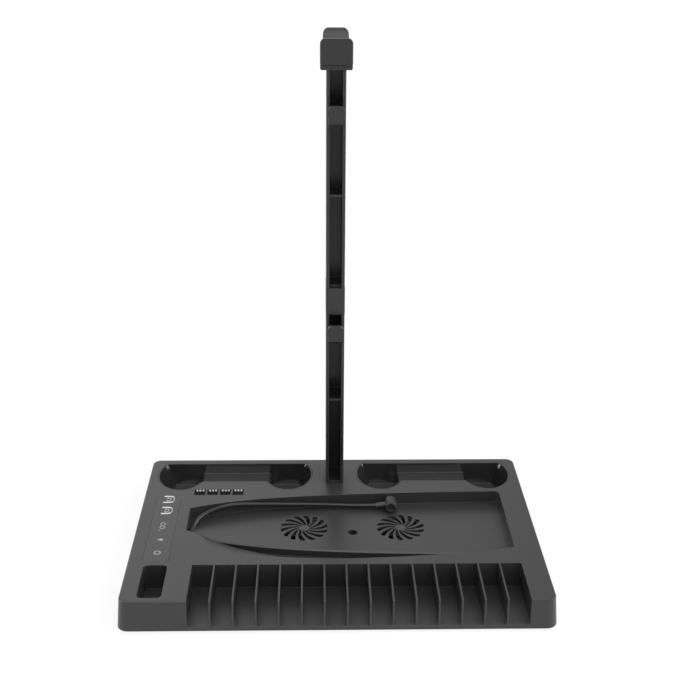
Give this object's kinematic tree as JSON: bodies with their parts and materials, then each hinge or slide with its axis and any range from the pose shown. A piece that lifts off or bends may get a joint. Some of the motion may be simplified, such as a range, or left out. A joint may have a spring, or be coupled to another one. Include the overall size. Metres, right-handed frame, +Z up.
{
  "type": "console vertical stand",
  "caption": "Black desktop stand with a console pocket over cooling fans, controller charging wells, game-case slots, a remote well and a slim tower with headset hooks and saddle.",
  "frame": {"origin": "middle of the base's footprint, on the ground under the feet", "axes": "+X to the right seen from the open ends of the game slots, +Y from the game slots to the tower, +Z up"},
  "size_m": [0.3394, 0.2284, 0.4227],
  "materials": {
    "satin_black": "fine satin moulded black",
    "gloss_black": "polished black",
    "dark_plastic": "moulded black",
    "overlay_film": "thin satin film",
    "circuit_board": "solder-masked board",
    "screw_steel": "zinc plated",
    "plug_steel": "nickel plated",
    "contact_brass": "plated contact",
    "light_pipe_white": "clear light pipe",
    "soft_rubber": "matt rubber",
    "cord_jacket": "smooth soft jacket"
  },
  "bodies": {
    "stand": {"base_top_shell": "satin_black", "board_screws": "screw_steel", "bottom_cover": "satin_black", "control_board": "circuit_board", "control_overlay": "overlay_film", "cord_grommet": "soft_rubber", "cord_strain_relief": "cord_jacket", "cover_screws": "screw_steel", "headset_saddle": "satin_black", "indicator_board": "circuit_board", "indicator_light_pipes_1": "light_pipe_white", "indicator_light_pipes_2": "light_pipe_white", "indicator_light_pipes_3": "light_pipe_white", "indicator_light_pipes_4": "light_pipe_white", "indicator_window_1": "gloss_black", "indicator_window_2": "gloss_black", "indicator_window_3": "gloss_black", "indicator_window_4": "gloss_black", "left_contact_block": "dark_plastic", "left_contact_pins": "contact_brass", "left_controller_well": "gloss_black", "left_fan_frame": "dark_plastic", "plug_body": "dark_plastic", "plug_shell": "plug_steel", "power_cord": "cord_jacket", "right_contact_block": "dark_plastic", "right_contact_pins": "contact_brass", "right_controller_well": "gloss_black", "right_fan_frame": "dark_plastic", "rubber_foot_1": "soft_rubber", "rubber_foot_2": "soft_rubber", "rubber_foot_3": "soft_rubber", "rubber_foot_4": "soft_rubber", "tower_lower_section": "satin_black", "tower_screws": "screw_steel", "tower_upper_section": "satin_black"},
    "left_rotor": {"left_fan_rotor": "dark_plastic"},
    "right_rotor": {"right_fan_rotor": "dark_plastic"}
  },
  "joints": [
    {"name": "left_fan_spin", "type": "hinge", "parent": "stand", "child": "left_rotor", "pos_m": [-0.02695, 0.0096, 0.0095], "axis": [0, 0, 1], "continuous": true},
    {"name": "right_fan_spin", "type": "hinge", "parent": "stand", "child": "right_rotor", "pos_m": [0.05585, 0.0096, 0.0095], "axis": [0, 0, 1], "continuous": true}
  ]
}
